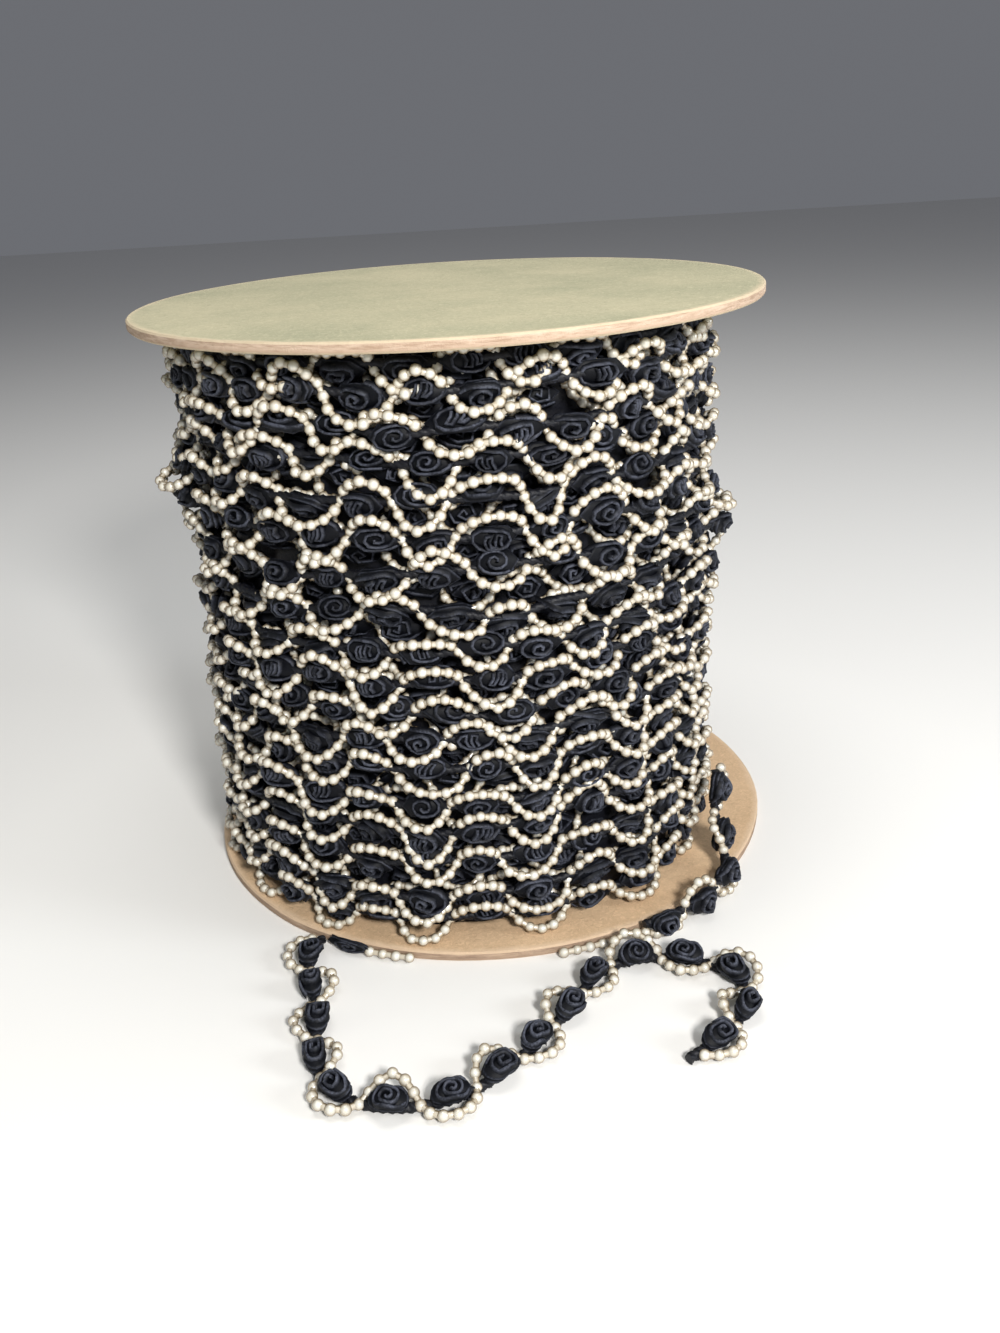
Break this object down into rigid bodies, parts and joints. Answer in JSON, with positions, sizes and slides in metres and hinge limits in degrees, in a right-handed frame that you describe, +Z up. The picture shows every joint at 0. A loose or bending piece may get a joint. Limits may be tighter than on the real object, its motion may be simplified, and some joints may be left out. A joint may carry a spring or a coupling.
{
  "type": "spool of beaded rosette trim",
  "caption": "Black satin rosette trim with ivory pearl beads, wound on a round card spool, its loose end lying in front.",
  "frame": {"origin": "middle of the lower flange's underside, on the floor", "axes": "+Z up along the spool, -Y towards the front where the loose end lies, +X to the right"},
  "size_m": [0.1931, 0.252, 0.178],
  "materials": {
    "card": "matte",
    "satin": "satin",
    "braid": "matte",
    "pearl": "gloss"
  },
  "bodies": {
    "root": {"flange_bottom": "card", "flange_top": "card", "wound_trim": "satin", "hanging_braid": "braid", "hanging_rosette_01": "satin", "hanging_rosette_02": "satin", "hanging_rosette_03": "satin", "hanging_rosette_04": "satin", "hanging_rosette_05": "satin", "lying_braid": "braid", "lying_rosette_01": "satin", "lying_rosette_02": "satin", "lying_rosette_03": "satin", "lying_rosette_04": "satin", "lying_rosette_05": "satin", "lying_rosette_06": "satin", "lying_rosette_07": "satin", "lying_rosette_08": "satin", "lying_rosette_09": "satin", "lying_rosette_10": "satin", "lying_rosette_11": "satin", "lying_rosette_12": "satin", "lying_rosette_13": "satin", "lying_rosette_14": "satin", "lying_rosette_15": "satin", "lying_rosette_16": "satin"}
  },
  "joints": []
}
